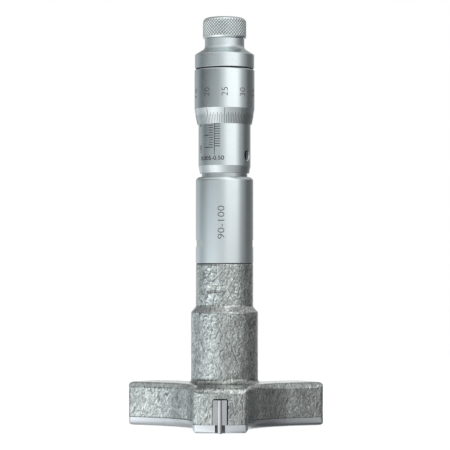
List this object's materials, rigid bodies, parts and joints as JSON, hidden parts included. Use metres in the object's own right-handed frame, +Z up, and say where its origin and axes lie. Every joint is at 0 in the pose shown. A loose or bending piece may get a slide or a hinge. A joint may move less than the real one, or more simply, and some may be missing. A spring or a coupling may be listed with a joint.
{
  "type": "three point bore gauge",
  "caption": "Three point bore gauge: a ratchet thimble on a graduated sleeve drives a cone down the stem, which pushes hard-tipped jaws out along the arms of a hammered cast head.",
  "frame": {"origin": "on the gauge's axis, at the flat underside of the measuring head", "axes": "+Z up the stem to the ratchet knob, -Y along the first measuring arm"},
  "size_m": [0.0808, 0.0744, 0.1683],
  "materials": {
    "hammered_paint": "glossy hammered grey-green paint on a casting",
    "satin_chrome": "satin chrome on turned steel",
    "knurled_steel": "diamond knurl, chromed",
    "ground_steel": "ground bright steel",
    "carbide": "lapped hard metal",
    "blackened_steel": "oil blackened",
    "spring_steel": "drawn wire",
    "bronze": "reamed bearing bronze",
    "black_rubber": "matte",
    "black_paint": "black fill of the engraved scales and of the spacer ring"
  },
  "bodies": {
    "gauge_frame": {"head_body": "hammered_paint", "bottom_plate": "ground_steel", "cover_screws": "blackened_steel", "guide_bush": "bronze", "seal_ring": "black_rubber", "grip": "satin_chrome", "inner_barrel": "satin_chrome", "adjusting_nut": "blackened_steel", "sleeve": "satin_chrome", "sleeve_screw": "blackened_steel", "jaw_springs_1": "spring_steel", "jaw_springs_2": "spring_steel", "jaw_springs_3": "spring_steel"},
    "cone_carriage": {"cone": "ground_steel", "push_rod": "ground_steel", "thrust_ball": "ground_steel"},
    "thimble_group": {"spindle": "ground_steel", "thimble": "satin_chrome", "thimble_ring": "black_paint", "thimble_cap": "satin_chrome", "ratchet_crown": "blackened_steel", "ratchet_screw": "blackened_steel"},
    "ratchet_group": {"ratchet_knob": "knurled_steel", "click_disc": "blackened_steel", "ratchet_spring": "spring_steel"},
    "jaw_unit_1": {"jaw_1": "ground_steel", "contact_strip_1": "carbide", "jaw_pin_1": "blackened_steel"},
    "jaw_unit_2": {"jaw_2": "ground_steel", "contact_strip_2": "carbide", "jaw_pin_2": "blackened_steel"},
    "jaw_unit_3": {"jaw_3": "ground_steel", "contact_strip_3": "carbide", "jaw_pin_3": "blackened_steel"}
  },
  "joints": [
    {"name": "cone_travel", "type": "slide", "parent": "gauge_frame", "child": "cone_carriage", "axis": [0, 0, -1], "range_m": [-0.00022, 0.00978]},
    {"name": "thimble_turn", "type": "hinge", "parent": "cone_carriage", "child": "thimble_group", "pos_m": [0, 0, 0.135], "axis": [0, 0, -1], "range_deg": [-159, 7042.5]},
    {"name": "ratchet_slip", "type": "hinge", "parent": "thimble_group", "child": "ratchet_group", "pos_m": [0, 0, 0.163], "axis": [0, 0, -1], "continuous": true},
    {"name": "jaw_slide_1", "type": "slide", "parent": "gauge_frame", "child": "jaw_unit_1", "axis": [0, -1, 0], "range_m": [-0.00011, 0.00489], "deforming": ["jaw_springs_1"]},
    {"name": "jaw_slide_2", "type": "slide", "parent": "gauge_frame", "child": "jaw_unit_2", "axis": [0.866, 0.5, 0], "range_m": [-0.00011, 0.00489], "deforming": ["jaw_springs_2"]},
    {"name": "jaw_slide_3", "type": "slide", "parent": "gauge_frame", "child": "jaw_unit_3", "axis": [-0.866, 0.5, 0], "range_m": [-0.00011, 0.00489], "deforming": ["jaw_springs_3"]}
  ],
  "couplings": [
    {"joint": "thimble_turn", "follows": "cone_travel", "rad_per_m": 12566},
    {"joint": "jaw_slide_1", "follows": "cone_travel", "ratio": 0.5},
    {"joint": "jaw_slide_2", "follows": "cone_travel", "ratio": 0.5},
    {"joint": "jaw_slide_3", "follows": "cone_travel", "ratio": 0.5}
  ]
}
